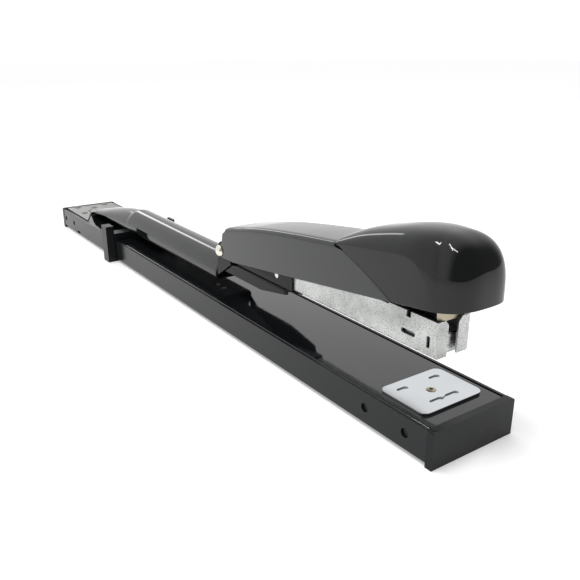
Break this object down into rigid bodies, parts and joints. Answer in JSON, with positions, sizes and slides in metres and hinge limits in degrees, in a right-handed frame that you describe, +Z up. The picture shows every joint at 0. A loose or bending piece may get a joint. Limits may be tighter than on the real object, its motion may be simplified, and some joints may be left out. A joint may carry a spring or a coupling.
{
  "type": "long reach stapler",
  "caption": "Long-reach desk stapler: long channel base with a turning anvil, an arm from the rear and a sprung head with a sliding staple pusher and press handle.",
  "frame": {"origin": "on the ground under the middle of the base", "axes": "+X along the base towards the anvil, +Y to the side away from the thumb grip of the paper stop, +Z up"},
  "size_m": [0.3853, 0.0473, 0.0755],
  "materials": {
    "black_paint": "semi-gloss",
    "gloss_black_paint": "gloss",
    "dark_gray_paint": "satin",
    "satin_black_plastic": "satin",
    "gloss_black_plastic": "gloss",
    "inner_plastic": "matte",
    "chromed_steel": "polished",
    "zinc_steel": "satin zinc",
    "gray_steel": "satin",
    "dark_steel": "satin",
    "bright_steel": "bright",
    "spring_steel": "satin",
    "nickel_brass": "nickelled",
    "brass": "satin"
  },
  "bodies": {
    "base": {"base_channel": "black_paint", "top_plate": "gloss_black_paint", "front_end_cap": "satin_black_plastic", "rear_end_cap": "satin_black_plastic", "anvil_pivot": "brass", "anvil_spring_washer": "spring_steel", "tail_plate": "gray_steel", "tail_rivets": "dark_steel", "arm_cover": "gloss_black_paint", "arm_rail": "black_paint", "head_bracket": "black_paint", "bracket_rivets": "bright_steel", "lift_spring": "spring_steel", "pivot_rivet": "nickel_brass"},
    "anvil": {"anvil_plate": "chromed_steel"},
    "magazine": {"magazine_carrier": "black_paint", "carrier_rivets": "bright_steel", "magazine_holder": "dark_gray_paint", "holder_rivets": "bright_steel", "magazine_channel": "zinc_steel", "staple_rail": "zinc_steel", "staple_strip": "bright_steel", "rail_end_block": "inner_plastic", "pusher_rod": "bright_steel", "pusher_spring": "spring_steel"},
    "pusher": {"pusher": "inner_plastic"},
    "handle": {"handle_shell": "gloss_black_paint", "nose_cap": "gloss_black_plastic", "driver_arm": "brass", "driver_screws": "bright_steel", "driver_blade": "spring_steel", "return_spring": "spring_steel"},
    "paper_stop": {"paper_stop": "satin_black_plastic"}
  },
  "joints": [
    {"name": "head_swing", "type": "hinge", "parent": "base", "child": "magazine", "pos_m": [0.03815, 0, 0.0354], "axis": [0, 1, 0], "range_deg": [0, 6.7], "stiffness_Nm_per_rad": 1.6, "springref_deg": -6.88, "deforming": ["lift_spring"]},
    {"name": "handle_press", "type": "hinge", "parent": "magazine", "child": "handle", "pos_m": [0.03815, 0, 0.0354], "axis": [0, -1, 0], "range_deg": [-5.2, 85], "stiffness_Nm_per_rad": 1.2, "springref_deg": 3.44, "deforming": ["return_spring"]},
    {"name": "pusher_slide", "type": "slide", "parent": "magazine", "child": "pusher", "axis": [-1, 0, 0], "range_m": [0, 0.035], "stiffness_N_per_m": 40, "springref_m": -0.05, "deforming": ["pusher_spring"]},
    {"name": "paper_stop_slide", "type": "slide", "parent": "base", "child": "paper_stop", "axis": [1, 0, 0], "range_m": [-0.045, 0.22]},
    {"name": "anvil_turn", "type": "hinge", "parent": "base", "child": "anvil", "pos_m": [0.17175, 0, 0.0141], "axis": [0, 0, 1], "range_deg": [0, 180]}
  ]
}
